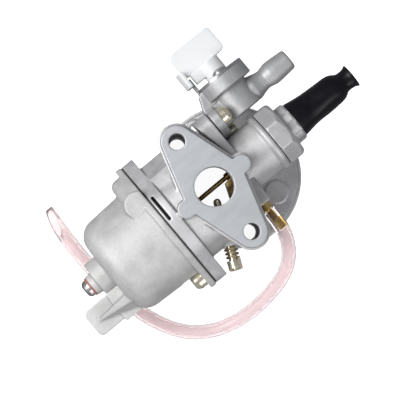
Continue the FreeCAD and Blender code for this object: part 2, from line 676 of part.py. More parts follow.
def petcock_housing():
    solids = []
    solids.append(rod(COVER_R, (COCK_FACE, COCK_Y, AXIS_Z), (COCK_RIM_END, COCK_Y, AXIS_Z)))
    solids.append(rod(COCK_BODY_R, (COCK_RIM_END, 24.6, AXIS_Z), (COCK_BODY_END, 24.6, AXIS_Z)))
    barb = [(0, 24.6), (4.4, 24.6), (4.4, 32.0), (3.6, 34.8), (3.4, 36.3), (4.1, 39.0)]
    barb += [(4.1, 40.8), (3.65, 46.5), (3.2, 47.1), (0, 47.1)]
    solids.append(turned(barb, (BARB_X, 0, AXIS_Z), Y_DIR))
    foot_low = FOOT_Y + GASKET_T
    foot_top = foot_low + FOOT_T
    solids.append(petcock_foot(0, foot_low, foot_top))
    solids.append(block((-21.0, foot_top - 1, AXIS_Z - 5.5), (COCK_BODY_END, 22, AXIS_Z + 5.0)))
    solids.append(block((-20.8, foot_low, AXIS_Z - 7.0), (-13.4, foot_top, AXIS_Z + 7.0)))
    side = [(COCK_FACE, 16.9), (-26.3, 15.5), (-21.4, foot_low), (-13.4, foot_low), (-13.4, 19), (COCK_FACE, 19)]
    points = [Vector(x, y, AXIS_Z - 4.5) for x, y in side]
    solids.append(Part.Face(Part.makePolygon(points + points[:1])).extrude(Vector(0, 0, 9.0)))
    housing = fuse_all(solids)
    holes = []
    holes.append(rod(CAVITY_R, (COCK_FACE - 1, COCK_Y, AXIS_Z), (CAVITY_END, COCK_Y, AXIS_Z)))
    holes.append(rod(2.0, (BARB_X, 26.6, AXIS_Z), (BARB_X, 48, AXIS_Z)))
    holes.append(rod(1.5, (CAVITY_END - 1, 28.2, AXIS_Z), (BARB_X, 28.2, AXIS_Z)))
    holes.append(rod(FUEL_R, (CAVITY_END - 1, 21.6, FUEL_Z), (FUEL_X, 21.6, FUEL_Z)))
    holes.append(rod(FUEL_R, (FUEL_X, 21.6, FUEL_Z), (FUEL_X, foot_low - 1, FUEL_Z)))
    for x, z in FOOT_SCREWS:
        holes.append(rod(FOOT_SCREW_R, (x, foot_low - 1, z), (x, foot_top + 1, z)))
        holes.append(rod(3.05, (x, foot_top, z), (x, foot_top + 4, z)))
    for side in (-1, 1):
        z = AXIS_Z + side * COVER_SCREW_OFFSET
        holes.append(rod(1.05, (COCK_FACE - 1, COCK_Y + 0.5, z), (COCK_RIM_END - 0.6, COCK_Y + 0.5, z)))
    holes.append(rod(BARREL_R + 0.1, (0, 0, AXIS_Z), (0, 22, AXIS_Z)))
    return housing.cut(Part.makeCompound(holes))


def petcock_foot(margin, low, high):
    """Two-screw foot plate, as belted circles around its screws."""
    (front_x, front_z), (back_x, back_z) = FOOT_SCREWS
    radius = 4.0 + margin
    return hull_across_y([(front_x, front_z, radius), (back_x, back_z, radius)], low, high)


def petcock_gasket():
    gasket = petcock_foot(-0.2, FOOT_Y, FOOT_Y + GASKET_T)
    for x, z in FOOT_SCREWS:
        gasket = gasket.cut(rod(FOOT_SCREW_R, (x, FOOT_Y - 1, z), (x, FOOT_Y + 2, z)))
    gasket = gasket.cut(rod(FUEL_R, (FUEL_X, FOOT_Y - 1, FUEL_Z), (FUEL_X, FOOT_Y + 2, FUEL_Z)))
    return gasket.cut(rod(BARREL_R + 0.1, (0, 0, AXIS_Z), (0, 22, AXIS_Z)))


def petcock_fasteners():
    screws = []
    washers = []
    seat = FOOT_Y + GASKET_T + FOOT_T
    for x, z in FOOT_SCREWS:
        washers.append(split_washer(3.0, FOOT_SCREW_R, 1.1, (x, seat, z), Y_DIR))
        under = (x, seat + 1.1, z)
        screws.append(pan_screw(2.9, 2.3, FOOT_SCREW_R, 9.2, under, Vector(0, -1, 0)))
    return Part.makeCompound(screws), Part.makeCompound(washers)


def petcock_seal():
    seal = rod(CAVITY_R, (CAVITY_END - 1.2, COCK_Y, AXIS_Z), (CAVITY_END, COCK_Y, AXIS_Z))
    ports = [rod(1.1, (CAVITY_END - 2, 28.2, AXIS_Z), (CAVITY_END + 1, 28.2, AXIS_Z))]
    ports.append(rod(1.1, (CAVITY_END - 2, 21.6, FUEL_Z), (CAVITY_END + 1, 21.6, FUEL_Z)))
    return seal.cut(Part.makeCompound(ports))


ROTOR_BACK = CAVITY_END - 1.3
ROTOR_FRONT = -24.4
LEVER_SHAFT_R = 3.2
STEM_R = 4.0
BLADE_X = (-43.0, -33.6)
BLADE_DOWN = 9.2
BLADE_UP = 7.7
BLADE_CORNER_R = 1.5
COVER_T = 1.0
SKIRT_R = 11.3


def wave_washer():
    """Spring washer between the rotor and the cover, in three shallow waves."""
    ring = tube(5.3, 3.7, (-25.15, COCK_Y, AXIS_Z), (-24.75, COCK_Y, AXIS_Z))
    bumps = []
    for step in range(6):
        angle = math.pi / 3 * step
        y = COCK_Y + 4.5 * math.cos(angle)
        z = AXIS_Z + 4.5 * math.sin(angle)
        shift = 0.35 if step % 2 else -0.22
        low = -24.95 + shift - 0.2
        bumps.append(rod(0.75, (low, y, z), (low + 0.4, y, z)))
    return fuse_all([ring] + bumps)


def petcock_lever():
    """Rotor, stem and lever of the petcock, moulded in one piece."""
    y = COCK_Y
    z = AXIS_Z
    solids = [rod(5.6, (ROTOR_FRONT, y, z), (ROTOR_BACK, y, z))]
    solids.append(rod(LEVER_SHAFT_R, (-30.2, y, z), (ROTOR_FRONT, y, z)))
    solids.append(rod(STEM_R, (-33.8, y, z), (-28.1, y, z)))
    solids.append(block((-33.9, y - 7.4, z - 2.6), (-29.9, y, z + 2.6)))
    blade = block((BLADE_X[0], y - BLADE_DOWN, z - 1.7), (BLADE_X[1], y + BLADE_UP, z + 1.7))
    corners = [edge for edge in blade.Edges if edge.BoundBox.ZLength > 3]
    solids.append(blade.makeFillet(BLADE_CORNER_R, corners))
    skirt = tube(SKIRT_R, SKIRT_R - 1.2, (-36.6, y, z), (-30.2, y, z))
    keep = block((-37, y - 12, z - 5.2), (-29, y - 8.5, z + 5.2))
    solids.append(skirt.common(keep))
    solids.append(block((-36.4, y - 10.6, z - 1.7), (-34.0, y - 6, z + 1.7)))
    lever = fuse_all(solids)
    groove = block((ROTOR_BACK - 1.2, y - 4.6, z - 1.0), (ROTOR_BACK + 1, y + 3.8, z + 1.0))
    return lever.cut(groove)


def cover_plate():
    face = COCK_FACE - COVER_T
    plate = rod(COVER_R, (face, COCK_Y, AXIS_Z), (COCK_FACE, COCK_Y, AXIS_Z))
    tab = block((-32.9, COCK_Y - 9.2, AXIS_Z - 2.0), (COCK_FACE, COCK_Y - 8.0, AXIS_Z + 2.0))
    plate = fuse_all([plate, tab])
    plate = plate.cut(rod(3.26, (face - 1, COCK_Y, AXIS_Z), (0, COCK_Y, AXIS_Z)))
    for side in (-1, 1):
        z = AXIS_Z + side * COVER_SCREW_OFFSET
        plate = plate.cut(rod(1.05, (face - 1, COCK_Y + 0.5, z), (0, COCK_Y + 0.5, z)))
    return plate


def cover_screws():
    screws = []
    for side in (-1, 1):
        under = (COCK_FACE - COVER_T, COCK_Y + 0.5, AXIS_Z + side * COVER_SCREW_OFFSET)
        screws.append(pan_screw(2.4, 1.5, 1.05, 5.0, under, X_DIR))
    return Part.makeCompound(screws)


# --- Vent ---


def vent_nipple():
    profile = [(0.8, 10.5), (1.85, 10.5), (1.85, 17.2), (1.5, 17.4), (NIPPLE_NECK_R, 17.6)]
    profile += [(NIPPLE_NECK_R, 21.0), (NIPPLE_R, 21.3), (NIPPLE_R, 24.9), (1.3, 25.2), (0.8, 25.2)]
    return turned(profile, (0, NIPPLE_Y, AXIS_Z), X_DIR)


def vent_hose():
    path = hose_path(HOSE_ROUTE)
    outer = sweep(path, HOSE_R)
    hose = outer.cut(sweep(path, HOSE_BORE_R))
    end = Vector(*HOSE_ROUTE[-1])
    wedge = block((-25, -15, 0), (0, 15, 20))
    tilt = math.degrees(math.atan2(2 * HOSE_R, HOSE_CUT_LENGTH))
    wedge.translate(Vector(HOSE_CUT_LENGTH + 2.0, 0, 0))
    wedge.rotate(Vector(0, 0, 0), Y_DIR, -tilt)
    wedge.translate(Vector(end.x, end.y, 0.15))
    hose = hose.cut(wedge)
    return max(hose.Solids, key=lambda solid: solid.Volume)


save(carb_body(), "carb_body")
save(throttle_slide(), "throttle_slide")
save(jet_needle(), "jet_needle")
save(needle_clip(), "needle_clip")
save(spring_seat(), "spring_seat")
save(coil(5.2, 0.55, 15.6, 6, (0, 14.1, AXIS_Z), Y_DIR), "return_spring")
save(barrel_cap(), "barrel_cap")
save(cap_seal(), "cap_seal")
save(cable_adjuster(), "cable_adjuster")
save(adjuster_locknut(), "adjuster_locknut")
save(cable_boot(), "cable_boot")
save(bowl_gasket(), "bowl_gasket")
save(float_bowl(), "float_bowl")
bowl_screws, bowl_spring_washers = bowl_fasteners()
save(bowl_screws, "bowl_screws")
save(bowl_spring_washers, "bowl_spring_washers")
save(needle_jet(), "needle_jet")
save(main_jet(), "main_jet")
save(float_valve_seat(), "float_valve_seat")
save(float_needle(), "float_needle")
save(float_solid(), "float")
save(float_pin(), "float_pin")
drain_screw, drain_washer = drain_parts()
save(drain_screw, "drain_screw")
save(drain_washer, "drain_washer")
save(idle_screw(), "idle_screw")
save(idle_washer(), "idle_washer")
save(coil(1.98, 0.38, 3.9, 3, idle_point(IDLE_BOSS_END + 0.5), idle_outward()), "idle_spring")
save(petcock_housing(), "petcock_housing")
save(petcock_gasket(), "petcock_gasket")
petcock_screws, petcock_spring_washers = petcock_fasteners()
save(petcock_screws, "petcock_screws")
save(petcock_spring_washers, "petcock_spring_washers")
save(petcock_seal(), "petcock_seal")
save(wave_washer(), "wave_washer")
save(petcock_lever(), "petcock_lever")
save(cover_plate(), "cover_plate")
save(cover_screws(), "cover_screws")
save(vent_nipple(), "vent_nipple")
save(vent_hose(), "vent_hose")
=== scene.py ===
import json
import math

import bmesh
import bpy
from mathutils import Matrix, Vector


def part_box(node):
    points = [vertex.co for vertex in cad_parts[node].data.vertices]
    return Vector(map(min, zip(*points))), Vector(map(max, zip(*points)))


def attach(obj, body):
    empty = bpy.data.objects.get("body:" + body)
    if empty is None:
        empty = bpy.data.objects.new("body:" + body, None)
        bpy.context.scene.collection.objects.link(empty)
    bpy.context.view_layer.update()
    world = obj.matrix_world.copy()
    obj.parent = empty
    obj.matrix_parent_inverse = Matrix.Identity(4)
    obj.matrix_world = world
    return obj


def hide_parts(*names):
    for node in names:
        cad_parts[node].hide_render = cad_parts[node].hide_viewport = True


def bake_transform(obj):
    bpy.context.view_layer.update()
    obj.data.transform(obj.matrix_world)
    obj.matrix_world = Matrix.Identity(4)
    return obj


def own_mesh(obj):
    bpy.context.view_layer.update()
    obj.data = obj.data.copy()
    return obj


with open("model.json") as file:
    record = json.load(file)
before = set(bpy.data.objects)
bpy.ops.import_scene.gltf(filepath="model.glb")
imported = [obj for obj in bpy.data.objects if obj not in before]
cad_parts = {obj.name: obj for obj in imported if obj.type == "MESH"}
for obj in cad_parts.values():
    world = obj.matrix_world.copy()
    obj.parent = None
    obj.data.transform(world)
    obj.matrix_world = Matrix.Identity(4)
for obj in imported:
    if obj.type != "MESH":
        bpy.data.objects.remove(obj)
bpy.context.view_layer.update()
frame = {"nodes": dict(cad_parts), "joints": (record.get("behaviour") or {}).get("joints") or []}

MM = 0.001
BODY = "carburetor_body"

# --- Camera: far off, looking down the bore, the carburettor's own "up" leaning to the right ---

CAMERA_PLACE = Vector((7.2, -21.5, 772.0)) * MM
CAMERA_TARGET = Vector((0.4, -6.4, 44.0)) * MM
PICTURE_UP = Vector((-0.7675, 0.641, 0.0))
CAMERA_LENS = 201.7
SENSOR_WIDTH = 36.0


def make_camera():
    data = bpy.data.cameras.new("camera")
    data.lens = CAMERA_LENS
    data.sensor_width = SENSOR_WIDTH
    data.clip_start = 0.01
    camera = bpy.data.objects.new("camera", data)
    bpy.context.scene.collection.objects.link(camera)
    back = (CAMERA_PLACE - CAMERA_TARGET).normalized()
    right = PICTURE_UP.cross(back).normalized()
    up = back.cross(right)
    turn = Matrix((right, up, back)).transposed()
    camera.matrix_world = Matrix.Translation(CAMERA_PLACE) @ turn.to_4x4()
    bpy.context.scene.camera = camera


make_camera()


# --- Small helpers for node materials ---

MIX_COLOUR_INPUTS = (0, 6, 7)  # the mix node's share, first colour and second colour
MIX_COLOUR_OUTPUT = 2

class Shader:
    """A material's node tree, with short calls for the nodes used here."""

    def __init__(self, name):
        self.material = bpy.data.materials.new(name)
        self.material.use_nodes = True
        self.tree = self.material.node_tree
        self.surface = self.tree.nodes["Principled BSDF"]
        self.coords = self.tree.nodes.new("ShaderNodeTexCoord").outputs["Object"]

    def set(self, **values):
        """Values for the surface's own sockets, spaces written as underscores."""
        for key, value in values.items():
            self.surface.inputs[key.replace("_", " ")].default_value = value

    def link(self, out, socket):
        self.tree.links.new(out, self.surface.inputs[socket])

    def noise(self, scale, detail=3.0, roughness=0.55, coords=None):
        node = self.tree.nodes.new("ShaderNodeTexNoise")
        node.inputs["Scale"].default_value = scale
        node.inputs["Detail"].default_value = detail
        node.inputs["Roughness"].default_value = roughness
        self.tree.links.new(coords or self.coords, node.inputs["Vector"])
        return node.outputs["Fac"]

    def stretched(self, factors):
        """Coordinates scaled along each axis, for grain that runs one way."""
        node = self.tree.nodes.new("ShaderNodeMapping")
        node.inputs["Scale"].default_value = factors
        self.tree.links.new(self.coords, node.inputs["Vector"])
        return node.outputs["Vector"]

    def ramp(self, value, *stops):
        """Colour ramp with (position, colour) stops."""
        node = self.tree.nodes.new("ShaderNodeValToRGB")
        elements = node.color_ramp.elements
        while len(elements) < len(stops):
            elements.new(0.5)
        for element, (place, colour) in zip(elements, stops):
            element.position = place
            element.color = (*colour, 1.0)
        self.tree.links.new(value, node.inputs["Fac"])
        return node.outputs["Color"]

    def spread(self, value, low, high, from_low=0.3, from_high=0.7):
        """Map a value's range to another, clamped."""
        node = self.tree.nodes.new("ShaderNodeMapRange")
        limits = {"From Min": from_low, "From Max": from_high, "To Min": low, "To Max": high}
        for key, number in limits.items():
            node.inputs[key].default_value = number
        self.tree.links.new(value, node.inputs["Value"])
        return node.outputs["Result"]

    def math(self, operation, first, second=0.0):
        node = self.tree.nodes.new("ShaderNodeMath")
        node.operation = operation
        for socket, value in zip(node.inputs, (first, second)):
            if isinstance(value, (int, float)):
                socket.default_value = value
            else:
                self.tree.links.new(value, socket)
        return node.outputs["Value"]

    def mix(self, share, first, second):
        """Blend two colours by a share, which is a number or an output."""
        node = self.tree.nodes.new("ShaderNodeMix")
        node.data_type = "RGBA"
        for index, value in zip(MIX_COLOUR_INPUTS, (share, first, second)):
            socket = node.inputs[index]
            if isinstance(value, tuple):
                socket.default_value = (*value, 1.0)
            elif isinstance(value, (int, float)):
                socket.default_value = value
            else:
                self.tree.links.new(value, socket)
        return node.outputs[MIX_COLOUR_OUTPUT]

    def bump(self, height, distance, strength=1.0):
        node = self.tree.nodes.new("ShaderNodeBump")
        node.inputs["Distance"].default_value = distance
        node.inputs["Strength"].default_value = strength
        self.tree.links.new(height, node.inputs["Height"])
        self.link(node.outputs["Normal"], "Normal")

    def axis(self, letter):
        """One of the coordinates, in metres."""
        node = self.tree.nodes.new("ShaderNodeSeparateXYZ")
        self.tree.links.new(self.coords, node.inputs["Vector"])
        return node.outputs[letter]

    def within(self, **limits):
        """1 inside a box given by its limits along some of the axes in millimetres, 0 outside."""
        share = 1.0
        for letter, (low, high) in limits.items():
            place = self.axis(letter)
            above = self.math("GREATER_THAN", place, low * MM)
            share = self.math("MULTIPLY", above, share)
            share = self.math("MULTIPLY", self.math("LESS_THAN", place, high * MM), share)
        return share

    def edges(self):
        """How convex the surface is, from its geometry: about 0.5 where it is flat."""
        return self.tree.nodes.new("ShaderNodeNewGeometry").outputs["Pointiness"]


def scaled(colour, share):
    return tuple(share * part for part in colour)


def cast_metal(name, dark, light, roughness=0.5, machining_and_shade=None, metallic=0.5):
    """Blasted casting: mottled grey with a fine grain, and painted shade darkening its concave corners."""
    shader = Shader(name)
    mottle = shader.noise(160.0, 4.0)
    grain = shader.noise(1700.0, 3.0, 0.65)
    colour = shader.ramp(mottle, (0.35, dark), (0.65, light))
    speckle = shader.spread(grain, 0.0, 0.28, 0.46, 0.68)
    colour = shader.mix(speckle, colour, scaled(dark, 0.72))
    # Painted shade: concave corners, found from the pointiness, are darkened towards a deep grey.
    painted_corner_shade = shader.spread(shader.edges(), 0.0, 1.0, 0.44, 0.50)
    colour = shader.mix(painted_corner_shade, scaled(dark, 0.45), colour)
    rough = shader.spread(mottle, roughness - 0.06, roughness + 0.08)
    # Overlay colour: machined faces, and on the body the painted shade in its slot.
    if machining_and_shade:
        share, face_and_shade_colour = machining_and_shade(shader)
        colour = shader.mix(share, colour, face_and_shade_colour)
    shader.link(colour, "Base Color")
    shader.link(rough, "Roughness")
    shader.set(Metallic=metallic)
    height = shader.math("ADD", shader.math("MULTIPLY", grain, 0.6), shader.noise(900.0, 3.0))
    shader.bump(height, 0.00006, 0.5)
    return shader.material


def turned_metal(name, dark, light, roughness=0.28, grain=2500.0, metallic=1.0):
    """Turned or plated metal: faint streaks, small changes of tone, and painted shade darkening its concave
    corners.
    """
    shader = Shader(name)
    streak = shader.noise(grain, 2.0)
    tone = shader.noise(420.0, 3.0)
    colour = shader.ramp(tone, (0.35, dark), (0.65, light))
    # Painted shade: concave corners, found from the pointiness, are darkened towards a deep grey.
    painted_corner_shade = shader.spread(shader.edges(), 0.0, 1.0, 0.40, 0.52)
    colour = shader.mix(painted_corner_shade, scaled(dark, 0.35), colour)
    shader.link(colour, "Base Color")
    shader.link(shader.spread(streak, roughness - 0.06, roughness + 0.10), "Roughness")
    shader.set(Metallic=metallic)
    shader.bump(streak, 0.00002, 0.4)
    return shader.material


MILLED_FACE = {"Z": (43.75, 50.0)}
FLANGE_SLOT = {"X": (-10.55, -0.85), "Y": (-18.28, -17.42), "Z": (38.0, 50.0)}
# Nearly black painted shade for the narrow slot in the flange.
SLOT_PAINTED_SHADE = (0.015, 0.014, 0.013)


def body_machining_and_slot_shade(shader):
    """Where the body isn't as cast: the milled engine face, and painted shade making its narrow slot nearly
    black.
    """
    on_face = shader.within(**MILLED_FACE)
    lay = shader.noise(500.0, 4.0, 0.6, shader.stretched((1.0, 0.15, 1.0)))
    colour = shader.ramp(lay, (0.35, (0.50, 0.515, 0.535)), (0.65, (0.54, 0.555, 0.575)))
    slot = shader.within(**FLANGE_SLOT)
    share = shader.math("ADD", on_face, slot)
    return share, shader.mix(slot, colour, SLOT_PAINTED_SHADE)


ALUMINIUM = cast_metal("cast_aluminium", (0.56, 0.555, 0.565), (0.72, 0.715, 0.72), 0.50, body_machining_and_slot_shade)
BOWL_ALUMINIUM = cast_metal("bowl_aluminium", (0.56, 0.555, 0.55), (0.69, 0.685, 0.68), 0.60, metallic=0.3)
CAP_ALUMINIUM = cast_metal("cap_aluminium", (0.54, 0.535, 0.545), (0.66, 0.655, 0.66), 0.44)
DIE_CAST = cast_metal("die_cast", (0.44, 0.44, 0.445), (0.54, 0.54, 0.545), 0.48)
BRASS = turned_metal("brass", (0.62, 0.42, 0.13), (0.82, 0.62, 0.28), 0.22)
# Brass darkened as painted shade, for the slide and needle that sit deep in the bore.
SHADED_BRASS = turned_metal("shaded_brass", (0.20, 0.13, 0.05), (0.38, 0.27, 0.12), 0.26)
YELLOW_ZINC = turned_metal("yellow_zinc", (0.72, 0.66, 0.50), (0.90, 0.86, 0.72), 0.22, metallic=0.8)
BRIGHT_ZINC = turned_metal("bright_zinc", (0.50, 0.50, 0.50), (0.72, 0.72, 0.71), 0.30)
SPRING_WIRE = turned_metal("spring_wire", (0.30, 0.23, 0.12), (0.58, 0.48, 0.30), 0.24)


def rubber(name, colour, roughness=0.42):
    """Moulded rubber: nearly black, with a soft shine and a fine matt grain."""
    shader = Shader(name)
    tone = shader.noise(260.0, 4.0)
    shade = shader.ramp(tone, (0.3, colour), (0.7, scaled(colour, 1.9)))
    shader.link(shade, "Base Color")
    shader.link(shader.spread(tone, roughness - 0.06, roughness + 0.12), "Roughness")
    shader.set(Specular_IOR_Level=0.25)
    shader.bump(shader.noise(2400.0, 3.0), 0.00005, 0.5)
    return shader.material


def moulded(name, low, high, roughness=0.3, glow=0.0):
    """Moulded plastic: slight flow marks, and some light passing through the pale ones."""
    shader = Shader(name)
    flow = shader.noise(140.0, 3.0, 0.5, shader.stretched((1.0, 0.4, 1.0)))
    shader.link(shader.ramp(flow, (0.3, low), (0.7, high)), "Base Color")
    shader.link(shader.spread(flow, roughness - 0.05, roughness + 0.1), "Roughness")
    shader.set(Subsurface_Weight=glow, Subsurface_Scale=0.004, Subsurface_Radius=(1.0, 0.9, 0.8))
    shader.bump(shader.noise(1500.0, 2.0), 0.00003, 0.4)
    return shader.material


RUBBER = rubber("black_rubber", (0.003, 0.003, 0.005), 0.30)
GASKET = rubber("gasket", (0.05, 0.045, 0.045), 0.7)
WHITE_PLASTIC = moulded("white_plastic", (0.90, 0.905, 0.91), (0.96, 0.965, 0.97), 0.28, 0.5)
FLOAT_PLASTIC = moulded("float_plastic", (0.03, 0.03, 0.03), (0.06, 0.06, 0.06), 0.5)
RED_FIBRE = moulded("red_fibre", (0.34, 0.09, 0.08), (0.50, 0.17, 0.15), 0.6)


OVER_NIPPLE = {"X": (10.0, 25.4), "Y": (3.0, 15.0)}


def vinyl(name):
    """Pink vinyl, cloudy along its length and stretched clear over the nipple."""
    shader = Shader(name)
    cloud = shader.noise(70.0, 2.0)
    pink = shader.ramp(cloud, (0.3, (0.965, 0.84, 0.85)), (0.7, (0.975, 0.87, 0.88)))
    clear = shader.within(**OVER_NIPPLE)
    shader.link(shader.mix(clear, pink, (0.99, 0.93, 0.92)), "Base Color")
    rough = shader.math("MULTIPLY", shader.spread(cloud, 0.14, 0.24), shader.math("SUBTRACT", 1.0, clear))
    shader.link(rough, "Roughness")
    shader.link(shader.math("ADD", shader.math("MULTIPLY", clear, 0.25), 0.75), "Transmission Weight")
    shader.set(IOR=1.36)
    return shader.material


VINYL = vinyl("pink_vinyl")

# --- The CAD pieces that show as they are ---

NODE_MATERIALS = {
    # The slide and needle take the brass darkened as painted shade.
    "throttle_slide": SHADED_BRASS,
    "jet_needle": SHADED_BRASS,
    "needle_clip": SPRING_WIRE,
    "spring_seat": WHITE_PLASTIC,
    "return_spring": SPRING_WIRE,
    "cap_seal": RUBBER,
    "cable_adjuster": YELLOW_ZINC,
    "adjuster_locknut": CAP_ALUMINIUM,
    "bowl_gasket": GASKET,
    "bowl_screws": YELLOW_ZINC,
    "bowl_spring_washers": YELLOW_ZINC,
    "needle_jet": BRASS,
    "main_jet": BRASS,
    "float_valve_seat": BRASS,
    "float_needle": BRASS,
    "float": FLOAT_PLASTIC,
    "float_pin": BRIGHT_ZINC,
    "drain_screw": BRIGHT_ZINC,
    "drain_washer": RED_FIBRE,
    "idle_screw": YELLOW_ZINC,
    "idle_washer": YELLOW_ZINC,
    "idle_spring": SPRING_WIRE,
    "petcock_gasket": GASKET,
    "petcock_screws": YELLOW_ZINC,
    "petcock_spring_washers": YELLOW_ZINC,
    "petcock_seal": RUBBER,
    "wave_washer": SPRING_WIRE,
    "cover_plate": BRIGHT_ZINC,
    "cover_screws": BRIGHT_ZINC,
    "vent_nipple": BRASS,
    "carb_body": ALUMINIUM,
    "float_bowl": BOWL_ALUMINIUM,
    "barrel_cap": CAP_ALUMINIUM,
    "petcock_housing": DIE_CAST,
    "petcock_lever": WHITE_PLASTIC,
    "cable_boot": RUBBER,
    "vent_hose": VINYL,
}

for node, material in NODE_MATERIALS.items():
    slots = frame["nodes"][node].data.materials
    slots.clear()
    slots.append(material)


# --- Castings and mouldings, with their edges rounded as they come from the mould ---


def evaluated_mesh(piece):
    """The piece's mesh with its modifiers applied."""
    graph = bpy.context.evaluated_depsgraph_get()
    return bpy.data.meshes.new_from_object(piece.evaluated_get(graph))


def add_piece(name, mesh, material, node, body=None):
    """Put a new mesh in the scene, standing for a CAD node and riding on a body if one is named."""
    mesh.name = name
    piece = bpy.data.objects.new(name, mesh)
    bpy.context.scene.collection.objects.link(piece)
    mesh.materials.clear()
    mesh.materials.append(material)
    mesh.polygons.foreach_set("use_smooth", [True] * len(mesh.polygons))
    if body:
        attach(piece, body)
    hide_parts(node)
    return piece


def skin(shape, loops):
    """Faces between each ring of vertices and the next."""
    for first, second in zip(loops, loops[1:]):
        for turn in range(len(first)):
            after = (turn + 1) % len(first)
            shape.faces.new((first[turn], first[after], second[after], second[turn]))


def close_ends(shape, loops):
    shape.faces.new(loops[0])
    shape.faces.new(list(reversed(loops[-1])))


def as_mesh(shape, name):
    """The built shape as a mesh whose faces all look outward."""
    bmesh.ops.recalc_face_normals(shape, faces=shape.faces)
    mesh = bpy.data.meshes.new(name)
    shape.to_mesh(mesh)
    shape.free()
    return mesh


def rounded(node, name, body, voxel, rounds, share):
    """A copy of a CAD node with softly rounded edges.

    It is remeshed at the voxel size in millimetres, smoothed in rounds, and thinned to a share of its faces.
    """
    source = frame["nodes"][node]
    mesh = source.data.copy()
    shape = bmesh.new()
    shape.from_mesh(mesh)
    bmesh.ops.remove_doubles(shape, verts=shape.verts, dist=0.001 * MM)
    shape.to_mesh(mesh)
    shape.free()
    work = bpy.data.objects.new("work", mesh)
    bpy.context.scene.collection.objects.link(work)
    remesh = work.modifiers.new("remesh", "REMESH")
    remesh.mode = "VOXEL"
    remesh.voxel_size = voxel * MM
    smooth = work.modifiers.new("smooth", "SMOOTH")
    smooth.factor = 0.5
    smooth.iterations = rounds
    thin = work.modifiers.new("thin", "DECIMATE")
    thin.ratio = share
    result = evaluated_mesh(work)
    bpy.data.objects.remove(work)
    add_piece(name, result, NODE_MATERIALS[node], node, body)


VOXEL = 0.26
FINE_VOXEL = VOXEL * 0.8
LEVER_BODY = "petcock_lever"

rounded("carb_body", "cast_body", BODY, VOXEL, rounds=3, share=0.35)
rounded("float_bowl", "bowl_casting", BODY, VOXEL, rounds=6, share=0.35)
rounded("barrel_cap", "cap_casting", BODY, FINE_VOXEL, rounds=3, share=0.5)
rounded("petcock_housing", "petcock_casting", BODY, FINE_VOXEL, rounds=4, share=0.4)
rounded("petcock_lever", "petcock_handle", LEVER_BODY, FINE_VOXEL, rounds=5, share=0.4)


# --- Springs: coils of round wire in place of the CAD springs ---

RETURN_COIL_RADIUS = 5.2 * MM
RETURN_WIRE_RADIUS = 0.55 * MM
RETURN_TURNS = 6
IDLE_COIL_RADIUS = 1.98 * MM
IDLE_WIRE_RADIUS = 0.38 * MM
IDLE_TURNS = 3
IDLE_COIL_SPAN = 3.9 * MM
COIL_STEPS_PER_TURN = 36
COIL_WIRE_SIDES = 12

def joint_named(name):
    return next(joint for joint in frame["joints"] if joint["name"] == name)


def make_coil(node, start, along, span, mean_radius, wire_radius, turns, body=None):
    """A spring of round wire, with its wire's ends cut square."""
    along = along.normalized()
    first = along.orthogonal().normalized()
    second = along.cross(first)
    rise = span / (2 * math.pi * turns)
    shape = bmesh.new()
    loops = []
    steps = COIL_STEPS_PER_TURN * turns
    for step in range(steps + 1):
        angle = 2 * math.pi * turns * step / steps
        out = first * math.cos(angle) + second * math.sin(angle)
        heading = second * math.cos(angle) - first * math.sin(angle)
        heading = (heading * mean_radius + along * rise).normalized()
        up = out.cross(heading)
        middle = start + out * mean_radius + along * (rise * angle)
        loop = []
        for side in range(COIL_WIRE_SIDES):
            place = 2 * math.pi * side / COIL_WIRE_SIDES
            offset = (out * math.cos(place) + up * math.sin(place)) * wire_radius
            loop.append(shape.verts.new(middle + offset))
        loops.append(loop)
    skin(shape, loops)
    close_ends(shape, loops)
    name = node + "_coil"
    return add_piece(name, as_mesh(shape, name), SPRING_WIRE, node, body)


def make_return_spring():
    """A fixed coil the length of the CAD spring, riding on the body; the real spring is pressed against the
    cap as the slide lifts.
    """
    low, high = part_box("return_spring")
    middle = (low + high) / 2
    length = high.y - low.y
    start = Vector((middle.x, low.y + RETURN_WIRE_RADIUS, middle.z))
    span = length - 2 * RETURN_WIRE_RADIUS
    sizes = (span, RETURN_COIL_RADIUS, RETURN_WIRE_RADIUS, RETURN_TURNS)
    piece = make_coil("return_spring", start, Vector((0, 1, 0)), *sizes, BODY)
    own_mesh(piece)


def make_idle_spring():
    """A fixed coil along the idle screw's axis; the real spring closes up between the body's boss and the
    washer as the screw goes in.
    """
    low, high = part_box("idle_spring")
    middle = (low + high) / 2
    outward = -Vector(joint_named("idle_advance")["axis"]).normalized()
    sizes = (IDLE_COIL_SPAN, IDLE_COIL_RADIUS, IDLE_WIRE_RADIUS, IDLE_TURNS)
    piece = make_coil("idle_spring", middle - outward * IDLE_COIL_SPAN / 2, outward, *sizes)
    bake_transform(piece)


make_return_spring()
make_idle_spring()


# --- Rubber boot over the cable entry ---

# Along the boot: share of its length, radius and sideways drift in millimetres
BOOT_STATIONS = (
    (0.000, 6.30, 0.00),
    (0.030, 6.28, 0.00),
    (0.120, 5.95, 0.05),
    (0.260, 5.55, 0.12),
    (0.460, 5.42, 0.25),
    (0.640, 5.25, 0.40),
    (0.720, 5.00, 0.50),
    (0.775, 4.45, 0.58),
    (0.820, 3.75, 0.64),
    (0.860, 3.52, 0.68),
    (0.930, 3.62, 0.74),
    (0.968, 3.90, 0.76),
    (0.985, 4.22, 0.78),
    (1.000, 4.18, 0.78),
)
BOOT_MOUTH = ((0.998, 3.4), (0.96, 2.3), (0.86, 1.7), (0.80, 1.6))  # back in from the lip
BOOT_RINGS = 110
BOOT_SIDES = 72


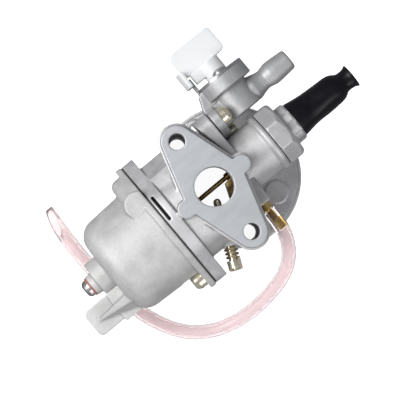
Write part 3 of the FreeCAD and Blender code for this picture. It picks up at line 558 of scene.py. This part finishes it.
def catmull(values, places, at):
    """Smooth value at a place along a list of stations."""
    last = len(places) - 1
    index = max(i for i in range(last) if places[i] <= at or i == 0)
    before, after = max(index - 1, 0), min(index + 2, last)
    share = (at - places[index]) / (places[index + 1] - places[index])
    span = places[index + 1] - places[index]
    slope_a = (values[index + 1] - values[before]) / (places[index + 1] - places[before]) * span
    slope_b = (values[after] - values[index]) / (places[after] - places[index]) * span
    square, cube = share * share, share ** 3
    rise = (2 * cube - 3 * square + 1) * values[index] + (3 * square - 2 * cube) * values[index + 1]
    return rise + (cube - 2 * square + share) * slope_a + (cube - square) * slope_b


def boot_crumple(at, angle):
    """How far the limp rubber stands off a round shape, in millimetres; nothing at its two ends."""
    swell = math.sin(math.pi * at)
    broad = 0.10 * math.sin(3 * angle + 5.0 * at) * swell ** 2
    return broad + 0.05 * math.sin(5 * angle - 9.0 * at) * swell


def make_boot():
    low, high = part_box("cable_boot")
    length = high.y - low.y
    centre_x, centre_z = (low.x + high.x) / 2, (low.z + high.z) / 2
    places, radii, drifts = zip(*BOOT_STATIONS)
    rings = []
    for step in range(BOOT_RINGS + 1):
        at = step / BOOT_RINGS
        rings.append((at, catmull(radii, places, at), catmull(drifts, places, at)))
    rings += [(at, radius, drifts[-1]) for at, radius in BOOT_MOUTH]
    shape = bmesh.new()
    loops = []
    for at, radius, drift in rings:
        loop = []
        for side in range(BOOT_SIDES):
            angle = 2 * math.pi * side / BOOT_SIDES
            reach = (radius + boot_crumple(at, angle)) * MM
            x = centre_x + drift * MM + reach * math.cos(angle)
            z = centre_z + reach * math.sin(angle)
            loop.append(shape.verts.new((x, low.y + at * length, z)))
        loops.append(loop)
    skin(shape, loops)
    close_ends(shape, loops)
    add_piece("boot", as_mesh(shape, "boot"), RUBBER, "cable_boot", BODY)


make_boot()


# --- Vent hose: limp pink vinyl from the nipple, down and round under the bowl ---

HOSE_RADIUS = 2.5
HOSE_BORE = 1.5
HOSE_ROUTE = (
    (17.6, 9.50, 24.60),
    (22.9, 9.53, 24.60),
    (28.3, 8.3, 23.8),
    (33.0, 5.6, 22.3),
    (36.47, 1.75, 20.1),
    (38.56, -3.25, 16.87),
    (39.8, -9.2, 12.0),
    (40.5, -16.0, 7.7),
    (39.8, -23.6, 4.5),
    (37.2, -31.3, 2.9),
    (32.5, -37.8, 2.6),
    (25.7, -42.5, 2.6),
    (17.5, -45.7, 2.6),
    (8.2, -47.9, 2.6),
    (-2.2, -49.1, 2.6),
    (-12.6, -49.3, 2.6),
    (-22.4, -49.0, 2.6),
    (-31.2, -48.5, 2.6),
)
HOSE_CUT_LENGTH = 12.5
HOSE_CUT_REACH = 1.7 * HOSE_RADIUS  # depth of the wall over which the cut slants, the rest being square
HOSE_CUT_RINGS = 5
HOSE_SIDES = 40


def smooth_route(route):
    """Points along a NURBS line that has the route's points as its control points."""
    data = bpy.data.curves.new("route", "CURVE")
    data.dimensions = "3D"
    data.resolution_u = 12
    line = data.splines.new("NURBS")
    line.points.add(len(route) - 1)
    for point, place in zip(line.points, route):
        point.co = (*(Vector(place) * MM), 1.0)
    line.order_u = 3
    line.use_endpoint_u = True
    holder = bpy.data.objects.new("route", data)
    bpy.context.scene.collection.objects.link(holder)
    points = [vertex.co.copy() for vertex in evaluated_mesh(holder).vertices]
    bpy.data.objects.remove(holder)
    return points


def slanted_end(points):
    """The line's points up to where the slanted cut starts, and the run from there to its end."""
    heading = (points[-1] - points[-2]).normalized()
    kept = [point for point in points if (points[-1] - point).dot(heading) > HOSE_CUT_LENGTH * MM]
    return kept, points[-1] - kept[-1]


def make_hose():
    route = smooth_route(HOSE_ROUTE)
    points, run = slanted_end(route)
    shape = bmesh.new()
    side = Vector((0.0, 0.0, 1.0))
    walls = {HOSE_RADIUS: [], HOSE_BORE: []}
    rings = [(point, 0.0) for point in points]
    rings += [(points[-1], (ring + 1) / HOSE_CUT_RINGS) for ring in range(HOSE_CUT_RINGS)]
    for index, (point, share) in enumerate(rings):
        near = min(index, len(points) - 1)
        ahead = (points[min(near + 1, len(points) - 1)] - points[max(near - 1, 0)]).normalized()
        side = (side - ahead * side.dot(ahead)).normalized()
        across = ahead.cross(side)
        for radius, loops in walls.items():
            loop = []
            for turn in range(HOSE_SIDES):
                angle = 2 * math.pi * turn / HOSE_SIDES
                height = radius * math.cos(angle)
                place = point + (side * math.cos(angle) + across * math.sin(angle)) * radius * MM
                reach = min((HOSE_RADIUS - height) / HOSE_CUT_REACH, 1.0)
                loop.append(shape.verts.new(place + run * reach * share))
            loops.append(loop)
    outer, inner = walls[HOSE_RADIUS], walls[HOSE_BORE]
    skin(shape, outer)
    skin(shape, inner)
    for place in (0, -1):
        skin(shape, (outer[place], inner[place]))
    hose = add_piece("hose", as_mesh(shape, "hose"), VINYL, "vent_hose", BODY)


make_hose()


# --- Floor, sky and lamps ---


def make_floor():
    bpy.ops.mesh.primitive_plane_add(size=6.0)
    floor = bpy.context.object
    floor.name = "floor"
    shader = Shader("floor")
    tone = shader.noise(3.0, 2.0)
    shader.link(shader.ramp(tone, (0.3, (0.90, 0.90, 0.90)), (0.7, (0.93, 0.93, 0.93))), "Base Color")
    shader.set(Roughness=0.9, Emission_Color=(1.0, 1.0, 1.0, 1.0), Emission_Strength=0.9)
    floor.data.materials.append(shader.material)
    floor.visible_diffuse = False
    floor.visible_glossy = False


LAMP_AIM = Vector((0.0, -0.005, 0.02))


def lamp(name, place, size, power):
    data = bpy.data.lights.new(name, "AREA")
    data.shape = "DISK"
    data.size = size
    data.energy = power
    light = bpy.data.objects.new(name, data)
    light.location = Vector(place)
    aim = LAMP_AIM - light.location
    light.rotation_mode = "QUATERNION"
    light.rotation_quaternion = aim.to_track_quat("-Z", "Y")
    bpy.context.scene.collection.objects.link(light)


def make_sky():
    world = bpy.data.worlds.new("sky")
    bpy.context.scene.world = world
    world.use_nodes = True
    background = world.node_tree.nodes["Background"]
    background.inputs["Color"].default_value = (0.95, 0.97, 1.0, 1.0)
    background.inputs["Strength"].default_value = 0.27


make_floor()
make_sky()
lamp("key", (-0.26, -0.26, 0.52), size=0.42, power=3.3)
lamp("fill", (0.50, -0.05, 0.36), size=0.45, power=1.1)
bpy.context.scene.view_settings.view_transform = "Standard"
